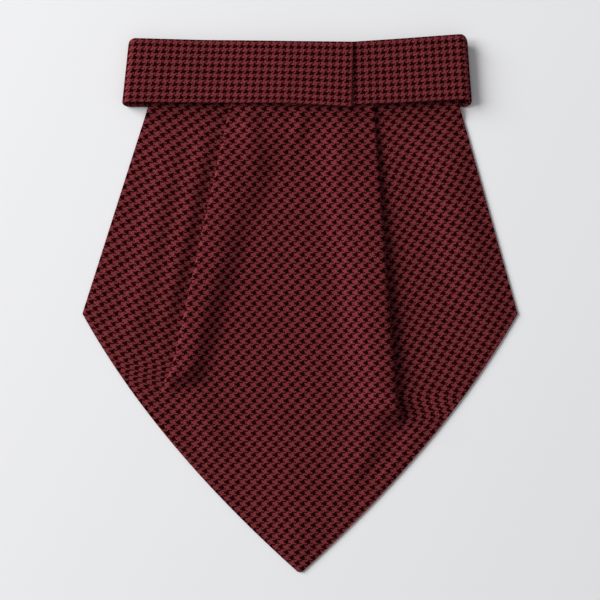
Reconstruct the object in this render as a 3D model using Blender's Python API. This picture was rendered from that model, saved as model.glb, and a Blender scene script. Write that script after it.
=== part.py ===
"""A ready-tied cravat lying flat, face up: a closed neck band, and the pleated bib that hangs from it.

X runs across the garment, Y up it towards the neck and Z up from the surface that it lies on. The
origin is on that surface, under the middle of the garment's box.

The band is one strip, folded into a flat loop whose two ends cross in front. The bib is one panel
with a square tip, cut on the bias. Its top goes into the loop, and two long pleats start there and
run out towards the hem: at each, the side panel passes under the centre panel and comes back.
"""

import math

import bmesh
import bpy

MM = 0.001

# Cloth
PLY_GAP = 0.3 * MM  # between plies that lie on each other
BIB_WALL = 1.0 * MM  # face and back, seamed round the edge and turned
BAND_WALL = 1.5 * MM  # a folded strip with its stiffening
CLOTH_COLOUR = (0.13, 0.018, 0.026, 1.0)
CLOTH_ROUGHNESS = 0.85

# Bib, as it lies
BIB_TOP = 125 * MM  # the edge sewn inside the band
SIDE_CORNER_Y = -5.8 * MM
TIP_Y = -153.6 * MM
BIB_EDGES = {  # X of each side's corners, and how far its lower edge bows out of a straight line
    "left": {"top": -83 * MM, "side": -124.6 * MM, "tip": -1.4 * MM, "bow": 10.5 * MM},
    "right": {"top": 88 * MM, "side": 124.6 * MM, "tip": 1.4 * MM, "bow": 10 * MM},
}
UPPER_ROWS = 9  # mesh rows from the foot of the ramp to the side corners
LOWER_ROWS = 24  # and from there to the tip

# Pleats: each fold edge is a straight line from its foot, where the pleat runs out, to the band
PLEATS = (
    {
        "side": -1, "foot_x": -77.4 * MM, "foot_y": -55.3 * MM, "lean": 12.5, "ply_angle": 6.6,
        "roll_top": 1.2 * MM, "roll_low": 2.1 * MM, "crest": 6 * MM, "sink": 16 * MM,
    },
    {
        "side": 1, "foot_x": 57.3 * MM, "foot_y": -75.3 * MM, "lean": -4.5, "ply_angle": 7.2,
        "roll_top": 1.4 * MM, "roll_low": 2.9 * MM, "crest": 1 * MM, "sink": 32 * MM,
    },
)
ROLL_FROM = 108 * MM  # above this level the band presses the fold edges flat
ROLL_TO = 84 * MM  # and below this one they roll at roll_top,
ROLL_LOW = -10 * MM  # growing to roll_low down here
PLY_PITCH = BIB_WALL + PLY_GAP
OPENING_LENGTH = 26 * MM  # over this length above its foot, a pleat opens from flat to folded
LEAST_PLY = 0.6 * MM
TURN_SEGMENTS = 6
PLY_SEGMENTS = 2
SIDE_SEGMENTS = 5
HOLD = 2.0 * MM  # the centre panel stays up this far past the hidden fold
HOLD_SEGMENTS = 2
SINK_LENGTH = 16 * MM  # and comes down to the surface over this length
SINK_SEGMENTS = 3
MIDDLE_SEGMENTS = 12
NARROW = 60 * MM  # a row narrower than this has its fold segments drawn in
SAG_FROM = 108 * MM  # the centre panel bridges its pleats above this level
SAG_TO = 74 * MM  # and lies on the surface between them below this one

# Neck band, folded flat
BAND_HEIGHT = 36.5 * MM
LOOP_GAP = 4.6 * MM  # inside the loop, from back to front
BACK_LOW = 112.6 * MM  # lower edge of the stretch that lies underneath
BACK_CLEAR = 0.8 * MM  # the bib is up on the band this far before its edge
RAMP_LENGTH = 8 * MM
RAMP_ROWS = 4
LEFT_FOLD = {"low": -101.7 * MM, "high": -98.0 * MM}  # outermost X at the lower and upper edges
RIGHT_FOLD = {"low": 98.3 * MM, "high": 95.7 * MM}
TURN_STATIONS = 8
CORNER_ROUND = 2.2 * MM  # the upper corners of the folds are drawn in by this
UNDERLAP_END = -8 * MM
OVERLAP_END = {"low": 29.4 * MM, "high": 30.4 * MM}
RISE_FROM = -55 * MM  # the left front climbs onto the hidden end from here
RISE_TO = -12 * MM
RISE_STATIONS = 6
HEIGHT_SEGMENTS = 4
FRONT_EDGES = {  # a row for each place on a front stretch: lower and upper edge
    "right": (
        {"x": -8 * MM, "low": 113.2 * MM, "high": 149.0 * MM},
        {"x": 31 * MM, "low": 113.7 * MM, "high": 149.4 * MM},
        {"x": 58 * MM, "low": 114.6 * MM, "high": 151.2 * MM},
        {"x": 90 * MM, "low": 116.4 * MM, "high": 153.6 * MM},
    ),
    "left": (
        {"x": -93 * MM, "low": 114.9 * MM, "high": 151.4 * MM},
        {"x": -57 * MM, "low": 114.6 * MM, "high": 150.4 * MM},
        {"x": -6 * MM, "low": 114.2 * MM, "high": 149.6 * MM},
        {"x": 30 * MM, "low": 112.2 * MM, "high": 149.2 * MM},
    ),
}


def clear_scene():
    for thing in list(bpy.data.objects):
        bpy.data.objects.remove(thing, do_unlink=True)


def cloth_material(name):
    material = bpy.data.materials.new(name)
    material.use_nodes = True
    shader = material.node_tree.nodes["Principled BSDF"]
    shader.inputs["Base Color"].default_value = CLOTH_COLOUR
    shader.inputs["Roughness"].default_value = CLOTH_ROUGHNESS
    shader.inputs["Metallic"].default_value = 0.0
    return material


def smooth_step(share):
    share = min(max(share, 0.0), 1.0)
    return share * share * (3.0 - 2.0 * share)


def mix(a, b, share):
    return a + (b - a) * share


def read_table(rows, key, place, column):
    """The value of a column at a place between the rows of a table ordered by key."""
    rows = sorted(rows, key=lambda row: row[key])
    for lower, upper in zip(rows, rows[1:]):
        if place <= upper[key]:
            share = (place - lower[key]) / (upper[key] - lower[key])
            return mix(lower[column], upper[column], max(share, 0.0))
    return rows[-1][column]


def spread(start, end, segments):
    """Evenly spaced values after start, up to and including end."""
    return [mix(start, end, i / segments) for i in range(1, segments + 1)]


# ---- bib ----


def ramp(y):
    """How far the bib is up on the band's back stretch at a level."""
    head = BACK_LOW - BACK_CLEAR
    return (BAND_WALL + PLY_GAP) * smooth_step((y - head + RAMP_LENGTH) / RAMP_LENGTH)


def side_edge(pleat, y):
    """X of the bib's outline on a pleat's side at a level."""
    edge = BIB_EDGES["left" if pleat["side"] < 0 else "right"]
    if y > SIDE_CORNER_Y:
        return mix(edge["side"], edge["top"], (y - SIDE_CORNER_Y) / (BIB_TOP - SIDE_CORNER_Y))
    below = (SIDE_CORNER_Y - y) / (SIDE_CORNER_Y - TIP_Y)
    bow = pleat["side"] * edge["bow"] * 4 * below * (1 - below)
    return mix(edge["side"], edge["tip"], below) + bow


def fold_edge(pleat, y):
    """X of the centre panel's fold edge at a level; below the foot it keeps its share of the width."""
    if y < pleat["foot_y"]:
        return pleat["foot_x"] * side_edge(pleat, y) / side_edge(pleat, pleat["foot_y"])
    return pleat["foot_x"] + (y - pleat["foot_y"]) * math.tan(math.radians(pleat["lean"]))


def roll_radius(pleat, y):
    """The radius of the fold edge's roll at a level: tight at the band and at the foot, and loose between."""
    loose = mix(pleat["roll_top"], pleat["roll_low"], smooth_step((ROLL_TO - y) / (ROLL_TO - ROLL_LOW)))
    released = smooth_step((ROLL_FROM - y) / (ROLL_FROM - ROLL_TO))
    folded = smooth_step((y - pleat["foot_y"]) / OPENING_LENGTH)
    return mix(PLY_PITCH / 2, loose, released * folded)


def pleat_walk(pleat, y, draw_in):
    """One pleat's section at a level, from its side panel to the centre panel.

    It walks towards the centre, turns back over itself, and turns again. The walk is a list of
    (distance towards the centre, height) from its start.
    """
    above_foot = max(y - pleat["foot_y"], 0.0)
    turn = math.pi * smooth_step(above_foot / OPENING_LENGTH)
    fold_lean = math.radians(abs(pleat["lean"]))
    hidden_lean = fold_lean + math.radians(pleat["ply_angle"])
    ply = max(above_foot * (math.tan(hidden_lean) - math.tan(fold_lean)), LEAST_PLY * draw_in)
    chord_share = 2 * math.sin(math.pi / 2 / TURN_SEGMENTS) * draw_in
    inner, outer = PLY_PITCH / 2 * chord_share, roll_radius(pleat, y) * chord_share
    turning = [(i + 0.5) / TURN_SEGMENTS * turn for i in range(TURN_SEGMENTS)]
    steps = [(heading, inner) for heading in turning]
    steps += [(turn, ply / PLY_SEGMENTS)] * PLY_SEGMENTS
    steps += [(heading, outer) for heading in reversed(turning)]
    walk = [(0.0, 0.0)]
    for heading, length in steps:
        across, up = walk[-1]
        walk.append((across + length * math.cos(heading), up + length * math.sin(heading)))
    return walk


def side_of_bib(pleat, y, draw_in):
    """(X, height) points from a side edge to where the centre panel starts, and the hidden fold's X."""
    inwards = -pleat["side"]
    edge = side_edge(pleat, y)
    walk = pleat_walk(pleat, y, draw_in)
    end = fold_edge(pleat, y) + inwards * (roll_radius(pleat, y) + BIB_WALL / 2) * draw_in
    start = end - inwards * walk[-1][0]
    points = [(edge, 0.0)] + [(x, 0.0) for x in spread(edge, start, SIDE_SEGMENTS)]
    points += [(start + inwards * across, up) for across, up in walk[1:]]
    return points, start


def crest_share(pleat, inside, span):
    """How much of the fold edge's loft the centre panel keeps at a distance inside the edge."""
    sink = min(pleat["sink"], 0.4 * span)
    return smooth_step(1 - (inside - pleat["crest"]) / sink)


def centre_of_bib(left_end, right_end, left_hidden, right_hidden, y):
    """(X, height) points of the centre panel, between its two fold edges."""
    hold_left = max(left_hidden, left_end[0]) + HOLD
    hold_right = min(right_hidden, right_end[0]) - HOLD
    if hold_right - hold_left < HOLD:
        hold_left = mix(left_end[0], right_end[0], 0.2)
        hold_right = mix(left_end[0], right_end[0], 0.8)
    sink = min(SINK_LENGTH, 0.35 * (hold_right - hold_left))
    xs = spread(left_end[0], hold_left, HOLD_SEGMENTS)
    xs += spread(hold_left, hold_left + sink, SINK_SEGMENTS)
    xs += spread(hold_left + sink, hold_right - sink, MIDDLE_SEGMENTS)
    xs += spread(hold_right - sink, hold_right, SINK_SEGMENTS)
    xs += spread(hold_right, right_end[0], HOLD_SEGMENTS)[:-1]
    sag = smooth_step((SAG_FROM - y) / (SAG_FROM - SAG_TO))
    span = right_end[0] - left_end[0]
    left_plies, right_plies = (min(end[1], 2 * PLY_PITCH) for end in (left_end, right_end))
    points = []
    for x in xs:
        bridged = mix(left_end[1], right_end[1], (x - left_end[0]) / span)
        sunk = left_plies * smooth_step((hold_left + sink - x) / sink)
        sunk += right_plies * smooth_step((x - hold_right + sink) / sink)
        sunk += (left_end[1] - left_plies) * crest_share(PLEATS[0], x - left_end[0], span)
        sunk += (right_end[1] - right_plies) * crest_share(PLEATS[1], right_end[0] - x, span)
        points.append((x, mix(bridged, sunk, sag)))
    return points


def bib_row(y):
    """The bib's section at a level, from its left edge to its right, as (x, y, z) of the cloth's middle."""
    width = side_edge(PLEATS[1], y) - side_edge(PLEATS[0], y)
    draw_in = min(1.0, width / NARROW)
    left, left_hidden = side_of_bib(PLEATS[0], y, draw_in)
    right, right_hidden = side_of_bib(PLEATS[1], y, draw_in)
    centre = centre_of_bib(left[-1], right[-1], left_hidden, right_hidden, y)
    base = ramp(y) + BIB_WALL / 2
    return [(x, y, base + up) for x, up in left + centre + right[::-1]]


def bib_levels():
    """The Y of each mesh row, from the tip up."""
    ramp_head = BACK_LOW - BACK_CLEAR
    ramp_foot = ramp_head - RAMP_LENGTH
    levels = [BIB_TOP, mix(BIB_TOP, ramp_head, 0.5), ramp_head]
    levels += spread(ramp_head, ramp_foot, RAMP_ROWS)
    levels += spread(ramp_foot, SIDE_CORNER_Y, UPPER_ROWS)
    levels += spread(SIDE_CORNER_Y, TIP_Y, LOWER_ROWS)
    return levels[::-1]


# ---- neck band ----


def front_station(stretch, x_low, x_high, z):
    rows = FRONT_EDGES[stretch]
    return {
        "low": (x_low, read_table(rows, "x", x_low, "low"), z),
        "high": (x_high, read_table(rows, "x", x_high, "high"), z),
    }


def back_station(x):
    z = BAND_WALL / 2
    return {"low": (x, BACK_LOW, z), "high": (x, BACK_LOW + BAND_HEIGHT, z)}


def fold_stations(stretch, fold, side):
    """The loop's rounded end, from the back stretch up to a front stretch."""
    radius = (LOOP_GAP + BAND_WALL) / 2
    rows = FRONT_EDGES[stretch]
    stations = []
    for i in range(TURN_STATIONS + 1):
        angle = math.pi * i / TURN_STATIONS
        share = smooth_step(i / TURN_STATIONS)
        station = {}
        for edge, back_y, drawn in (("low", BACK_LOW, 0.3), ("high", BACK_LOW + BAND_HEIGHT, -1.0)):
            centre = fold[edge] - side * (radius + BAND_WALL / 2)
            front_y = read_table(rows, "x", centre, edge)
            station[edge] = (
                centre + side * radius * math.sin(angle),
                mix(back_y, front_y, share) + drawn * CORNER_ROUND * math.sin(angle),
                BAND_WALL / 2 + radius * (1.0 - math.cos(angle)),
            )
        stations.append(station)
    return stations


def band_stations():
    """The strip from its hidden end, round the loop, to the end that shows in front."""
    front_z = BAND_WALL * 1.5 + LOOP_GAP
    over_z = front_z + BAND_WALL + PLY_GAP
    right_fold = fold_stations("right", RIGHT_FOLD, 1)
    left_fold = fold_stations("left", LEFT_FOLD, -1)
    stations = [front_station("right", x, x, front_z) for x in (UNDERLAP_END, 12 * MM, 31 * MM, 58 * MM, 80 * MM)]
    stations += right_fold[::-1]
    stations += [back_station(x) for x in (60 * MM, 20 * MM, -20 * MM, -60 * MM)]
    stations += left_fold
    stations += [front_station("left", x, x, front_z) for x in (-75 * MM, RISE_FROM)]
    for x in spread(RISE_FROM, RISE_TO, RISE_STATIONS):
        z = mix(front_z, over_z, smooth_step((x - RISE_FROM) / (RISE_TO - RISE_FROM)))
        stations.append(front_station("left", x, x, z))
    stations.append(front_station("left", 10 * MM, 10 * MM, over_z))
    stations.append(front_station("left", OVERLAP_END["low"], OVERLAP_END["high"], over_z))
    return stations


def band_row(station):
    return [
        tuple(mix(low, high, i / HEIGHT_SEGMENTS) for low, high in zip(station["low"], station["high"]))
        for i in range(HEIGHT_SEGMENTS + 1)
    ]


# ---- cloth from rows ----


def cloth_from_rows(name, rows, wall, material):
    """A wall of cloth on a grid of points: each row is one section through the middle of the cloth."""
    across = len(rows[0])
    sheet = bmesh.new()
    bmesh.ops.create_grid(sheet, x_segments=across - 1, y_segments=len(rows) - 1, size=1.0)
    sheet.verts.ensure_lookup_table()
    for index, vert in enumerate(sheet.verts):
        vert.co = rows[index // across][index % across]
    mesh = bpy.data.meshes.new(name)
    sheet.to_mesh(mesh)
    sheet.free()
    mesh.shade_smooth()
    cloth = bpy.data.objects.new(name, mesh)
    cloth.data.materials.append(material)
    bpy.context.scene.collection.objects.link(cloth)
    thicken = cloth.modifiers.new("wall", "SOLIDIFY")
    thicken.thickness = wall
    thicken.offset = 0.0
    thicken.use_even_offset = True
    thicken.use_rim = True
    return cloth


def main():
    clear_scene()
    cloth_from_rows("bib", [bib_row(y) for y in bib_levels()], BIB_WALL, cloth_material("bib_cloth"))
    band_rows = [band_row(station) for station in band_stations()]
    cloth_from_rows("neck_band", band_rows, BAND_WALL, cloth_material("band_cloth"))


main()
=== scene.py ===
"""The looks of a ready-tied cravat that lies flat, face up: checked cloth on the bib and the neck band."""

import math

import bmesh
import bpy
from mathutils import Matrix, Vector, noise


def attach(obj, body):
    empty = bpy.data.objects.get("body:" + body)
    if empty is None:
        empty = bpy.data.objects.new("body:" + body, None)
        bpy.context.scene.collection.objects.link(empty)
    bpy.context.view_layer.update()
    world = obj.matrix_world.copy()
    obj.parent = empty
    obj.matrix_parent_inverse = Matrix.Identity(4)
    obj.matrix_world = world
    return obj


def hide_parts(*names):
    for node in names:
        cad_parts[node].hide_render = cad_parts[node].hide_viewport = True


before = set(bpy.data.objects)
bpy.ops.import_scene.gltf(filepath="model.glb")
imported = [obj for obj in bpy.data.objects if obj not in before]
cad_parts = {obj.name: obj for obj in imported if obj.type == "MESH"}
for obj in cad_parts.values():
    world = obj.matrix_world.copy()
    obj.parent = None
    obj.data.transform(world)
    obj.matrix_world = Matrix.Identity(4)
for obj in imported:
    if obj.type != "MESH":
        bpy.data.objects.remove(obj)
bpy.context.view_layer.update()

MM = 0.001

# Cloth
PLY_GAP = 0.3 * MM  # between plies that lie on each other
BIB_WALL = 1.0 * MM
BAND_WALL = 1.5 * MM
TURNED_EDGE = {"angle": 55, "width": 0.38, "segments": 3}  # the width is a share of the wall

# The houndstooth: four dark and four red threads by turns, both ways, in a two-up two-down twill
THREADS_PER_COLOUR = 4
BIB_REPEAT = 4.38 * MM
BAND_REPEAT = (4.07 * MM, 3.75 * MM)
BIB_GRAIN = 45  # degrees from the bib's own axes: it is cut on the bias
BIB_WARP_PROUD = 0.13  # the share of its own colour that the warp keeps where the weft covers it
BAND_GRAIN = 0
BAND_WARP_PROUD = 0.0
RED_THREAD = (0.162, 0.028, 0.033)
DARK_THREAD = (0.015, 0.0008, 0.0010)
SWAY = {"scale": 260.0, "detail": 1.0, "height": 0.9}  # how far threads wander, in threads
HAIR = {"scale": 1700.0, "detail": 3.0, "spread": 3.4, "shift": -0.68, "height": 0.6}  # single fibres
PATCH = {"scale": 90.0, "detail": 2.0, "spread": 0.3, "shift": 0.85}  # broad uneven dyeing
TWILL_THREADS = 4.0  # the twill goes over half of these and under the rest
RELIEF_STRENGTH = 0.5
RELIEF_DEPTH = 0.12 * MM
CLOTH_FINISH = {
    "Roughness": 0.82, "Specular IOR Level": 0.0, "Sheen Weight": 0.012, "Sheen Roughness": 0.4,
    "Sheen Tint": (1.0, 0.5, 0.55, 1.0),
}

# Bib, as it lies
BIB_TOP = 125 * MM  # the edge sewn inside the band
SIDE_CORNER_Y = -5.8 * MM
TIP_Y = -153.6 * MM
BIB_EDGES = {  # X of each side's corners, and how far its lower edge bows out of a straight line
    "left": {"top": -83 * MM, "side": -124.6 * MM, "tip": -1.4 * MM, "bow": 10.5 * MM},
    "right": {"top": 88 * MM, "side": 124.6 * MM, "tip": 1.4 * MM, "bow": 10 * MM},
}
ROW_PITCH = 1.9 * MM

# Pleats: each fold edge is a straight line from its foot, where the pleat runs out, to the band
PLEATS = (
    {
        "side": -1, "foot_x": -77.4 * MM, "foot_y": -55.3 * MM, "lean": 12.5, "ply_angle": 6.6,
        "roll_top": 1.2 * MM, "roll_low": 2.1 * MM, "crest": 6 * MM, "sink": 16 * MM,
    },
    {
        "side": 1, "foot_x": 57.3 * MM, "foot_y": -75.3 * MM, "lean": -4.5, "ply_angle": 7.2,
        "roll_top": 1.4 * MM, "roll_low": 2.9 * MM, "crest": 1 * MM, "sink": 32 * MM,
    },
)
PLY_PITCH = BIB_WALL + PLY_GAP
OPENING_LENGTH = 26 * MM  # over this length above its foot, a pleat opens from flat to folded
LEAST_PLY = 0.6 * MM
ROLL_FROM = 108 * MM  # above this level the band presses the fold edges flat
ROLL_TO = 84 * MM  # and below this one they roll at roll_top,
ROLL_LOW = -10 * MM  # growing to roll_low down here
SWING_BELOW = 26 * MM  # the side panel's grain starts to swing this far below the foot
SWING_LENGTH = 32 * MM  # and has swung fully over this length
TURN_SEGMENTS = 8
PLY_SEGMENTS = 6
SIDE_SEGMENTS = 28
HOLD = 2.0 * MM  # the centre panel stays up this far past the hidden fold
NARROW_HOLD = 0.2  # or over this share of a centre panel that is too narrow for it
CENTRE_SEGMENTS = 70
TIGHT_SINK = 16 * MM  # the plies' own height comes down to the surface over this length
MOST_SINK = 0.35  # but over no more than this share of the panel between its holds
MOST_CREST_SINK = 0.4  # and the loft over no more than this share of the whole panel
NARROW = 60 * MM  # a row narrower than this has its fold segments drawn in
SAG_FROM = 108 * MM  # the centre panel bridges its pleats above this level
SAG_TO = 74 * MM  # and lies on the surface between them below this one

# Neck band, folded flat
BAND_HEIGHT = 36.5 * MM
LOOP_GAP = 4.6 * MM  # inside the loop, from back to front
LOOP_RADIUS = (LOOP_GAP + BAND_WALL) / 2
BACK_LOW = 112.6 * MM  # lower edge of the stretch that lies underneath
BACK_CLEAR = 0.8 * MM  # the bib is up on the band this far before its edge
RAMP_LENGTH = 8 * MM
LEFT_FOLD = {"low": -101.7 * MM, "high": -98.0 * MM}  # outermost X at the lower and upper edges
RIGHT_FOLD = {"low": 98.3 * MM, "high": 95.7 * MM}
CORNER_ROUND = 2.2 * MM  # the upper corners of the folds are drawn in by this
LOW_CORNER_SHARE = 0.3  # and the lower ones by this share of it
UNDERLAP_END = {"low": -8 * MM, "high": -8 * MM}
OVERLAP_END = {"low": 29.4 * MM, "high": 30.4 * MM}
RISE_FROM = -55 * MM  # the left front climbs onto the hidden end from here
RISE_TO = -12 * MM
FRONT_EDGES = {  # a row for each place on a front stretch: lower and upper edge
    "right": (
        {"x": -8 * MM, "low": 113.2 * MM, "high": 149.0 * MM},
        {"x": 31 * MM, "low": 113.7 * MM, "high": 149.4 * MM},
        {"x": 58 * MM, "low": 114.6 * MM, "high": 151.2 * MM},
        {"x": 90 * MM, "low": 116.4 * MM, "high": 153.6 * MM},
    ),
    "left": (
        {"x": -93 * MM, "low": 114.9 * MM, "high": 151.4 * MM},
        {"x": -57 * MM, "low": 114.6 * MM, "high": 150.4 * MM},
        {"x": -6 * MM, "low": 114.2 * MM, "high": 149.6 * MM},
        {"x": 30 * MM, "low": 112.2 * MM, "high": 149.2 * MM},
    ),
}
STATION_PITCH = 2.0 * MM
FOLD_STATIONS = 14
HEIGHT_SEGMENTS = 22

# Soft ridges of the bib: from, to, reach to each side, height, in millimetres
RIDGES = (
    {"name": "left panel", "from": (-72, 96), "to": (-97, -30), "reach": 14, "height": 1.8},
    {"name": "left panel beside its pleat", "from": (-53, 104), "to": (-80, -22), "reach": 10, "height": 2.0},
    {"name": "right panel", "from": (78, 100), "to": (108, -18), "reach": 20, "height": 2.2},
    {"name": "pucker at the middle", "from": (1, 116), "to": (-2, 92), "reach": 6, "height": 1.2},
    {"name": "pucker on the left", "from": (-31, 116), "to": (-25, 74), "reach": 9, "height": 1.3},
    {"name": "pucker on the right", "from": (22, 116), "to": (26, 70), "reach": 11, "height": 1.2},
    {"name": "right pleat's run-out", "from": (44, -60), "to": (30, -104), "reach": 15, "height": 1.6},
    {"name": "left pleat's run-out", "from": (-62, -40), "to": (-48, -92), "reach": 14, "height": 1.2},
    {"name": "tip", "from": (-8, -76), "to": (-2, -146), "reach": 22, "height": 1.2},
)
RIDGE_END = 0.3  # a ridge rises over this share of its length at each end,
RIDGE_END_HEIGHT = 0.2  # from this far along the rise
UNEVEN = 0.7 * MM
UNEVEN_LENGTH = 34 * MM
EDGE_FADE = 10 * MM  # the lift fades out over this length towards an edge
FOLD_CLEAR = 1 * MM  # and beside a pleat it starts this far out
FOLD_FADE = 7 * MM  # and grows over this length
LIFT_BELOW = 116 * MM
LIFT_FADE = 12 * MM


def smooth_step(share):
    share = min(max(share, 0.0), 1.0)
    return share * share * (3.0 - 2.0 * share)


def mix(a, b, share):
    return a + (b - a) * share


def read_table(rows, key, place, column):
    """The value of a column at a place between the rows of a table."""
    rows = sorted(rows, key=lambda row: row[key])
    for lower, upper in zip(rows, rows[1:]):
        if place <= upper[key]:
            share = (place - lower[key]) / (upper[key] - lower[key])
            return mix(lower[column], upper[column], max(share, 0.0))
    return rows[-1][column]


def spread(start, end, segments):
    """Evenly spaced values after start, up to and including end."""
    return [mix(start, end, i / segments) for i in range(1, segments + 1)]


# ---- bib ----


def ramp(y):
    """How far the bib is up on the band's back stretch at a level."""
    head = BACK_LOW - BACK_CLEAR
    return (BAND_WALL + PLY_GAP) * smooth_step((y - head + RAMP_LENGTH) / RAMP_LENGTH)


def side_edge(pleat, y):
    """X of the bib's outline on a pleat's side at a level."""
    edge = BIB_EDGES["left" if pleat["side"] < 0 else "right"]
    if y > SIDE_CORNER_Y:
        return mix(edge["side"], edge["top"], (y - SIDE_CORNER_Y) / (BIB_TOP - SIDE_CORNER_Y))
    below = (SIDE_CORNER_Y - y) / (SIDE_CORNER_Y - TIP_Y)
    bow = pleat["side"] * edge["bow"] * 4 * below * (1 - below)
    return mix(edge["side"], edge["tip"], below) + bow


def fold_edge(pleat, y):
    """X of the centre panel's fold edge; below the foot it keeps its share of the width."""
    if y < pleat["foot_y"]:
        return pleat["foot_x"] * side_edge(pleat, y) / side_edge(pleat, pleat["foot_y"])
    return pleat["foot_x"] + (y - pleat["foot_y"]) * math.tan(math.radians(pleat["lean"]))


def roll_radius(pleat, y):
    """The radius of the fold edge's roll: tight at the band and at the foot, and loose between."""
    loose = mix(pleat["roll_top"], pleat["roll_low"], smooth_step((ROLL_TO - y) / (ROLL_TO - ROLL_LOW)))
    released = smooth_step((ROLL_FROM - y) / (ROLL_FROM - ROLL_TO))
    folded = smooth_step((y - pleat["foot_y"]) / OPENING_LENGTH)
    return mix(PLY_PITCH / 2, loose, released * folded)


def pleat_walk(pleat, y, draw_in):
    """One pleat's section at a level, from its side panel to the centre panel.

    The walk is a list of (distance towards the centre, height), and beside it the turn of the flat
    cloth's grain at each step, as a share from the side panel's to the centre panel's.
    """
    above_foot = max(y - pleat["foot_y"], 0.0)
    fold = smooth_step(above_foot / OPENING_LENGTH)
    turn = math.pi * fold
    fold_lean = math.radians(abs(pleat["lean"]))
    hidden_lean = fold_lean + math.radians(pleat["ply_angle"])
    ply = max(above_foot * (math.tan(hidden_lean) - math.tan(fold_lean)), LEAST_PLY * draw_in)
    chord_share = math.sin(math.pi / 2 / TURN_SEGMENTS) * 2
    inner = PLY_PITCH / 2 * chord_share * draw_in
    outer = roll_radius(pleat, y) * chord_share * draw_in
    turning = [(i + 0.5) / TURN_SEGMENTS for i in range(TURN_SEGMENTS)]
    steps = [(part * turn, inner, part) for part in turning]
    steps += [(turn, ply / PLY_SEGMENTS, 1.0)] * PLY_SEGMENTS
    steps += [(part * turn, outer, 1.0 + (1.0 - part)) for part in reversed(turning)]
    walk = [(0.0, 0.0)]
    for heading, length, _ in steps:
        across, up = walk[-1]
        walk.append((across + length * math.cos(heading), up + length * math.sin(heading)))
    return walk, [part for _, _, part in steps], fold


def side_of_bib(pleat, y, draw_in):
    """Points from a side edge to the centre panel, each step's turn of grain, and the hidden fold's X."""
    inwards = -pleat["side"]
    edge = side_edge(pleat, y)
    walk, parts, fold = pleat_walk(pleat, y, draw_in)
    end = fold_edge(pleat, y) + inwards * (roll_radius(pleat, y) + BIB_WALL / 2) * draw_in
    start = end - inwards * walk[-1][0]
    points = [(edge, 0.0)] + [(x, 0.0) for x in spread(edge, start, SIDE_SEGMENTS)]
    points += [(start + inwards * across, up) for across, up in walk[1:]]
    whole = math.radians(2 * pleat["ply_angle"])
    swing = whole * smooth_step((y - pleat["foot_y"] + SWING_BELOW) / SWING_LENGTH)
    ply_turn = mix(swing / 2, -2 * math.radians(abs(pleat["lean"])), fold)
    turns = [swing] * SIDE_SEGMENTS
    for part in parts:
        turns.append(mix(swing, ply_turn, part) if part <= 1.0 else mix(ply_turn, 0.0, part - 1.0))
    return points, turns, start


def crest_share(pleat, inside, span):
    """How much of the fold edge's loft the centre panel keeps at a distance inside the edge."""
    sink = min(pleat["sink"], MOST_CREST_SINK * span)
    return smooth_step(1 - (inside - pleat["crest"]) / sink)


def centre_of_bib(left_end, right_end, left_hidden, right_hidden, y):
    """(X, height) points of the centre panel, between its two fold edges."""
    hold_left = max(left_hidden, left_end[0]) + HOLD
    hold_right = min(right_hidden, right_end[0]) - HOLD
    if hold_right - hold_left < HOLD:
        hold_left = mix(left_end[0], right_end[0], NARROW_HOLD)
        hold_right = mix(left_end[0], right_end[0], 1 - NARROW_HOLD)
    sink = min(TIGHT_SINK, MOST_SINK * (hold_right - hold_left))
    span = right_end[0] - left_end[0]
    tight = 2 * PLY_PITCH
    left_tight, right_tight = min(left_end[1], tight), min(right_end[1], tight)
    sag = smooth_step((SAG_FROM - y) / (SAG_FROM - SAG_TO))
    points = []
    for x in spread(left_end[0], right_end[0], CENTRE_SEGMENTS)[:-1]:
        bridged = mix(left_end[1], right_end[1], (x - left_end[0]) / span)
        sunk = left_tight * smooth_step((hold_left + sink - x) / sink)
        sunk += right_tight * smooth_step((x - hold_right + sink) / sink)
        sunk += (left_end[1] - left_tight) * crest_share(PLEATS[0], x - left_end[0], span)
        sunk += (right_end[1] - right_tight) * crest_share(PLEATS[1], right_end[0] - x, span)
        points.append((x, mix(bridged, sunk, sag)))
    return points


def bib_lift(x, y):
    """How far the soft ridges and the cloth's own unevenness lift it off the surface at a place."""
    lift = UNEVEN * (0.5 + 0.5 * noise.noise(Vector((x, y, 0.0)) / UNEVEN_LENGTH))
    place = Vector((x, y, 0.0))
    for ridge in RIDGES:
        start = Vector((*ridge["from"], 0.0)) * MM
        along = Vector((*ridge["to"], 0.0)) * MM - start
        share = (place - start).dot(along) / along.length_squared
        off = (place - start - along * share).length / (ridge["reach"] * MM)
        ends = smooth_step(min(share, 1 - share) / RIDGE_END + RIDGE_END_HEIGHT)
        if off < 1.0:
            lift += ridge["height"] * MM * ends * (1 - smooth_step(off))
    return lift * smooth_step((LIFT_BELOW - y) / LIFT_FADE)


def lay_flat(points, turns, middle):
    """Where a section's points lie on the flat cut, walking out from its middle point."""
    flat = [None] * len(points)
    flat[middle] = Vector((points[middle].x, 0.0))
    for i in range(middle, 0, -1):
        step = Vector((points[i - 1].x - points[i].x, points[i - 1].z - points[i].z)).length
        flat[i - 1] = flat[i] - Vector((math.cos(turns[i - 1]), math.sin(turns[i - 1]))) * step
    for i in range(middle, len(points) - 1):
        step = Vector((points[i + 1].x - points[i].x, points[i + 1].z - points[i].z)).length
        flat[i + 1] = flat[i] + Vector((math.cos(turns[i]), math.sin(turns[i]))) * step
    return flat


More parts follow.
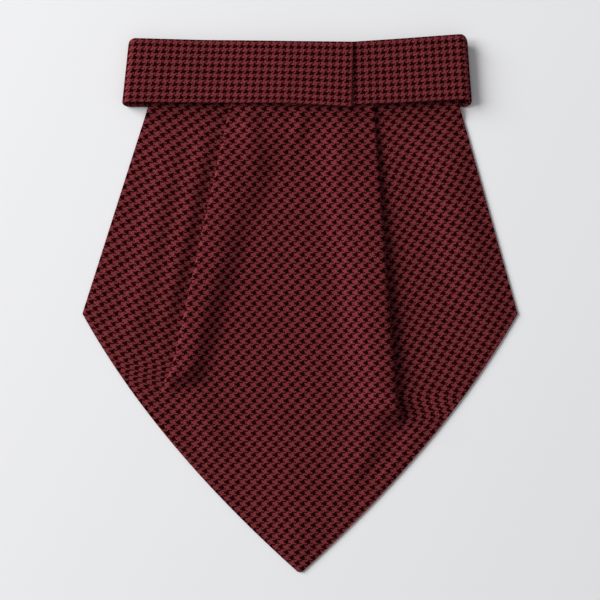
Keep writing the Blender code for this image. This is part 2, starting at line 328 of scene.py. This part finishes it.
def bib_row(y):
    """The bib's section at a level: points of the cloth's middle and where each lies on the flat cut."""
    width = side_edge(PLEATS[1], y) - side_edge(PLEATS[0], y)
    draw_in = min(1.0, width / NARROW)
    left, left_turns, left_hidden = side_of_bib(PLEATS[0], y, draw_in)
    right, right_turns, right_hidden = side_of_bib(PLEATS[1], y, draw_in)
    centre = centre_of_bib(left[-1], right[-1], left_hidden, right_hidden, y)
    section = left + centre + right[::-1]
    turns = left_turns + [0.0] * (len(centre) + 1) + [-turn for turn in reversed(right_turns)]
    base = ramp(y) + BIB_WALL / 2
    points = []
    for index, (x, up) in enumerate(section):
        lift = 0.0
        if index <= SIDE_SEGMENTS or index >= len(section) - 1 - SIDE_SEGMENTS:
            pleat, edge = (PLEATS[0], left[0][0]) if x < 0 else (PLEATS[1], right[0][0])
            outside = (x - fold_edge(pleat, y)) * pleat["side"]
            lift = bib_lift(x, y) * smooth_step(abs(x - edge) / EDGE_FADE)
            lift *= smooth_step((outside - FOLD_CLEAR) / FOLD_FADE)
        elif left[-1][0] < x < right[-1][0]:
            inside = min(x - left[-1][0], right[-1][0] - x)
            lift = bib_lift(x, y) * smooth_step(inside / EDGE_FADE)
        points.append(Vector((x, y, base + up + lift)))
    middle = min(range(len(points)), key=lambda i: abs(points[i].x))
    return points, lay_flat(points, turns, middle), middle


def bib_rows():
    """The bib's sections from the tip up, and beside each where its points lie on the flat cut."""
    levels = [TIP_Y] + spread(TIP_Y, SIDE_CORNER_Y, round((SIDE_CORNER_Y - TIP_Y) / ROW_PITCH))
    levels += spread(SIDE_CORNER_Y, BIB_TOP, round((BIB_TOP - SIDE_CORNER_Y) / ROW_PITCH))
    rows, cuts = [], []
    climb, last = levels[0], None
    for y in levels:
        points, flat, middle = bib_row(y)
        centre = points[middle]
        if last is not None:
            climb += Vector((centre.y - last.y, centre.z - last.z)).length
        last = centre
        rows.append(points)
        cuts.append([place + Vector((0.0, climb)) for place in flat])
    return rows, cuts


# ---- neck band ----


def stretch_stations(stretch, start, end, z_at):
    """Stations along a front stretch, between two places given at the lower and the upper edge."""
    rows = FRONT_EDGES[stretch]
    count = max(round(abs(end["low"] - start["low"]) / STATION_PITCH), 1)
    stations = []
    for i in range(count + 1):
        station = {}
        for edge in ("low", "high"):
            x = mix(start[edge], end[edge], i / count)
            station[edge] = Vector((x, read_table(rows, "x", x, edge), z_at(x)))
        stations.append(station)
    return stations


def fold_centre(fold, side):
    """X of the axis that a fold of the loop turns about, at its lower and upper edges."""
    return {edge: fold[edge] - side * (LOOP_RADIUS + BAND_WALL / 2) for edge in fold}


def fold_stations(stretch, fold, side):
    """The loop's rounded end, from the back stretch up to a front stretch."""
    centre = fold_centre(fold, side)
    rows = FRONT_EDGES[stretch]
    edges = (("low", BACK_LOW, LOW_CORNER_SHARE), ("high", BACK_LOW + BAND_HEIGHT, -1.0))
    stations = []
    for i in range(FOLD_STATIONS + 1):
        angle = math.pi * i / FOLD_STATIONS
        share = smooth_step(i / FOLD_STATIONS)
        station = {}
        for edge, back_y, drawn in edges:
            front_y = read_table(rows, "x", centre[edge], edge)
            station[edge] = Vector((
                centre[edge] + side * LOOP_RADIUS * math.sin(angle),
                mix(back_y, front_y, share) + drawn * CORNER_ROUND * (1 - abs(math.cos(angle))),
                BAND_WALL / 2 + LOOP_RADIUS * (1.0 - math.cos(angle)),
            ))
        stations.append(station)
    return stations


def band_stations():
    """The strip from its hidden end, round the loop, to the end that shows in front."""
    front_z = BAND_WALL * 1.5 + LOOP_GAP
    over_z = front_z + BAND_WALL + PLY_GAP
    right_centre, left_centre = fold_centre(RIGHT_FOLD, 1), fold_centre(LEFT_FOLD, -1)

    def right_z(x):
        return front_z

    def left_z(x):
        return mix(front_z, over_z, smooth_step((x - RISE_FROM) / (RISE_TO - RISE_FROM)))

    stations = stretch_stations("right", UNDERLAP_END, right_centre, right_z)[:-1]
    stations += fold_stations("right", RIGHT_FOLD, 1)[::-1]
    back_count = round((right_centre["low"] - left_centre["low"]) / STATION_PITCH)
    for i in range(1, back_count):
        station = {}
        for edge, y in (("low", BACK_LOW), ("high", BACK_LOW + BAND_HEIGHT)):
            x = mix(right_centre[edge], left_centre[edge], i / back_count)
            station[edge] = Vector((x, y, BAND_WALL / 2))
        stations.append(station)
    stations += fold_stations("left", LEFT_FOLD, -1)
    stations += stretch_stations("left", left_centre, OVERLAP_END, left_z)[1:]
    return stations


def band_rows():
    """The band's sections along the strip, and beside each where its points lie on the flat cut."""
    rows, cuts = [], []
    along, last = 0.0, None
    for station in band_stations():
        middle = (station["low"] + station["high"]) / 2
        if last is not None:
            along += (middle - last).length
        last = middle
        row, cut = [], []
        for i in range(HEIGHT_SEGMENTS + 1):
            share = i / HEIGHT_SEGMENTS
            row.append(station["low"].lerp(station["high"], share))
            cut.append(Vector((along, share * BAND_HEIGHT)))
        rows.append(row)
        cuts.append(cut)
    return rows, cuts


# ---- cloth ----


def cloth_from_rows(name, rows, cuts, wall, material):
    """A wall of cloth on a grid of points, with each point's place on the flat cut as its UV map."""
    across = len(rows[0])
    sheet = bmesh.new()
    bmesh.ops.create_grid(sheet, x_segments=across - 1, y_segments=len(rows) - 1, size=1.0)
    sheet.verts.ensure_lookup_table()
    cut_map = sheet.loops.layers.uv.new("cut")
    for index, vert in enumerate(sheet.verts):
        vert.co = rows[index // across][index % across]
    for face in sheet.faces:
        face.smooth = True
        for loop in face.loops:
            loop[cut_map].uv = cuts[loop.vert.index // across][loop.vert.index % across]
    mesh = bpy.data.meshes.new(name)
    sheet.to_mesh(mesh)
    sheet.free()
    cloth = bpy.data.objects.new(name, mesh)
    cloth.data.materials.append(material)
    bpy.context.scene.collection.objects.link(cloth)
    thicken = cloth.modifiers.new("wall", "SOLIDIFY")
    thicken.thickness = wall
    thicken.offset = 0.0
    thicken.use_even_offset = True
    thicken.use_rim = True
    edge = cloth.modifiers.new("turned edge", "BEVEL")
    edge.limit_method = "ANGLE"
    edge.angle_limit = math.radians(TURNED_EDGE["angle"])
    edge.width = wall * TURNED_EDGE["width"]
    edge.segments = TURNED_EDGE["segments"]
    return cloth


class Weave:
    """Shader nodes, added one after another."""

    def __init__(self, material):
        self.tree = material.node_tree

    def node(self, kind, **settings):
        made = self.tree.nodes.new(kind)
        for name, value in settings.items():
            setattr(made, name, value)
        return made

    def plug(self, value, socket):
        if isinstance(value, bpy.types.NodeSocket):
            self.tree.links.new(value, socket)
        else:
            socket.default_value = value

    def maths(self, operation, a, b=0.0):
        made = self.node("ShaderNodeMath", operation=operation)
        self.plug(a, made.inputs[0])
        self.plug(b, made.inputs[1])
        return made.outputs[0]

    def mix(self, share, a, b):
        made = self.node("ShaderNodeMix", data_type="RGBA")
        self.plug(share, made.inputs["Factor"])
        self.plug(a, made.inputs["A"])
        self.plug(b, made.inputs["B"])
        return made.outputs["Result"]

    def spread(self, value, times, shift):
        return self.maths("ADD", self.maths("MULTIPLY", value, times), shift)

    def choose(self, share, a, b):
        """a where share is 1, and b where it is 0."""
        other = self.maths("SUBTRACT", 1.0, share)
        return self.maths("ADD", self.maths("MULTIPLY", share, a), self.maths("MULTIPLY", other, b))

    def noise(self, vector, look):
        made = self.node("ShaderNodeTexNoise")
        self.plug(vector, made.inputs["Vector"])
        self.plug(look["scale"], made.inputs["Scale"])
        self.plug(look["detail"], made.inputs["Detail"])
        return made.outputs["Fac"]


def checked_cloth(name, repeat, grain, warp_proud):
    """Houndstooth cloth. repeat is the check's size across and along, in metres of flat cloth."""
    material = bpy.data.materials.new(name)
    material.use_nodes = True
    shader = material.node_tree.nodes["Principled BSDF"]
    weave = Weave(material)
    threads = 2 * THREADS_PER_COLOUR

    flat = weave.node("ShaderNodeUVMap", uv_map="cut").outputs["UV"]
    turned = weave.node("ShaderNodeMapping")
    weave.plug(flat, turned.inputs["Vector"])
    turned.inputs["Rotation"].default_value = (0.0, 0.0, math.radians(grain))
    place = turned.outputs["Vector"]
    split = weave.node("ShaderNodeSeparateXYZ")
    weave.plug(place, split.inputs["Vector"])

    # Which thread of each family a place is on, and how far across it
    sway = weave.maths("SUBTRACT", weave.noise(place, SWAY), 0.5)
    sway = weave.maths("MULTIPLY", sway, SWAY["height"])
    warp = weave.spread(split.outputs["X"], threads / repeat[0], sway)
    weft = weave.spread(split.outputs["Y"], threads / repeat[1], sway)
    warp_thread = weave.maths("FLOOR", warp)
    weft_thread = weave.maths("FLOOR", weft)

    def is_red(thread):
        return weave.maths("LESS_THAN", weave.maths("FLOORED_MODULO", thread, threads), threads / 2)

    def crown(position, thread):
        across = weave.maths("SUBTRACT", position, thread)
        return weave.maths("SINE", weave.maths("MULTIPLY", across, math.pi))

    # Which family is on top, and so which colour shows
    crossing = weave.maths("SUBTRACT", warp_thread, weft_thread)
    step = weave.maths("FLOORED_MODULO", crossing, TWILL_THREADS)
    warp_up = weave.maths("LESS_THAN", step, TWILL_THREADS / 2)
    warp_red = is_red(warp_thread)
    red = weave.choose(warp_up, warp_red, is_red(weft_thread))
    red = weave.maths("ADD",
        weave.maths("MULTIPLY", red, 1.0 - warp_proud),
        weave.maths("MULTIPLY", warp_red, warp_proud))
    cloth = weave.mix(red, (*DARK_THREAD, 1.0), (*RED_THREAD, 1.0))

    # The fibres' own unevenness
    hair = weave.noise(place, HAIR)
    hair_light = weave.spread(hair, HAIR["spread"], HAIR["shift"])
    patch_light = weave.spread(weave.noise(place, PATCH), PATCH["spread"], PATCH["shift"])
    shade = weave.node("ShaderNodeVectorMath", operation="SCALE")
    weave.plug(cloth, shade.inputs["Vector"])
    weave.plug(weave.maths("MULTIPLY", hair_light, patch_light), shade.inputs["Scale"])
    weave.plug(shade.outputs["Vector"], shader.inputs["Base Color"])

    crowns = weave.choose(warp_up, crown(warp, warp_thread), crown(weft, weft_thread))
    relief = weave.maths("ADD", crowns, weave.maths("MULTIPLY", hair, HAIR["height"]))
    bump = weave.node("ShaderNodeBump")
    bump.inputs["Strength"].default_value = RELIEF_STRENGTH
    bump.inputs["Distance"].default_value = RELIEF_DEPTH
    weave.plug(relief, bump.inputs["Height"])
    weave.plug(bump.outputs["Normal"], shader.inputs["Normal"])

    for setting, value in CLOTH_FINISH.items():
        shader.inputs[setting].default_value = value
    return material


# ---- surroundings ----

CAMERA_HEIGHT = 1.5
VIEW_WIDTH = 343.8 * MM
VIEW_CENTRE_Y = 2.0 * MM
SENSOR = 36.0  # millimetres, as the lens is
KEY_WAY = Vector((-1.0, 0.5, 0.62)).normalized()
KEY_DISTANCE = 3.6
KEY_SIZE = 2.6
KEY_POWER = 200.0
SKY = 0.33
SKY_COLOUR = (0.97, 0.98, 1.0, 1.0)
FLOOR_HALF = 3.0
FLOOR_FINISH = {"Base Color": (0.8, 0.8, 0.81, 1.0), "Roughness": 0.9, "Specular IOR Level": 0.1}
FLOOR_DROP = 0.05 * MM


def make_camera():
    data = bpy.data.cameras.new("camera")
    data.sensor_width = SENSOR
    data.lens = SENSOR * CAMERA_HEIGHT / VIEW_WIDTH
    camera = bpy.data.objects.new("camera", data)
    camera.location = (0.0, VIEW_CENTRE_Y, CAMERA_HEIGHT)
    bpy.context.scene.collection.objects.link(camera)
    bpy.context.scene.camera = camera


def make_light():
    data = bpy.data.lights.new("window", "AREA")
    data.shape = "DISK"
    data.size = KEY_SIZE
    data.energy = KEY_POWER
    lamp = bpy.data.objects.new("window", data)
    lamp.location = KEY_WAY * KEY_DISTANCE
    lamp.rotation_mode = "QUATERNION"
    lamp.rotation_quaternion = KEY_WAY.to_track_quat("Z", "Y")
    bpy.context.scene.collection.objects.link(lamp)
    world = bpy.data.worlds.new("room")
    world.use_nodes = True
    background = world.node_tree.nodes["Background"]
    background.inputs["Color"].default_value = SKY_COLOUR
    background.inputs["Strength"].default_value = SKY
    bpy.context.scene.world = world
    bpy.context.scene.view_settings.view_transform = "Standard"


def make_floor():
    sheet = bmesh.new()
    bmesh.ops.create_grid(sheet, x_segments=1, y_segments=1, size=FLOOR_HALF)
    mesh = bpy.data.meshes.new("floor")
    sheet.to_mesh(mesh)
    sheet.free()
    mesh.transform(Matrix.Translation((0.0, 0.0, -FLOOR_DROP)))
    floor = bpy.data.objects.new("floor", mesh)
    material = bpy.data.materials.new("pale_ground")
    material.use_nodes = True
    shader = material.node_tree.nodes["Principled BSDF"]
    for setting, value in FLOOR_FINISH.items():
        shader.inputs[setting].default_value = value
    mesh.materials.append(material)
    bpy.context.scene.collection.objects.link(floor)


make_camera()
make_light()
make_floor()

rows, cuts = bib_rows()
bib = cloth_from_rows("bib_cloth", rows, cuts, BIB_WALL,
    checked_cloth("bib_houndstooth", (BIB_REPEAT, BIB_REPEAT), BIB_GRAIN, BIB_WARP_PROUD))
rows, cuts = band_rows()
band = cloth_from_rows("neck_band_cloth", rows, cuts, BAND_WALL,
    checked_cloth("band_houndstooth", BAND_REPEAT, BAND_GRAIN, BAND_WARP_PROUD))

for piece, node in ((bib, "bib"), (band, "neck_band")):
    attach(piece, "root")
    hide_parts(node)
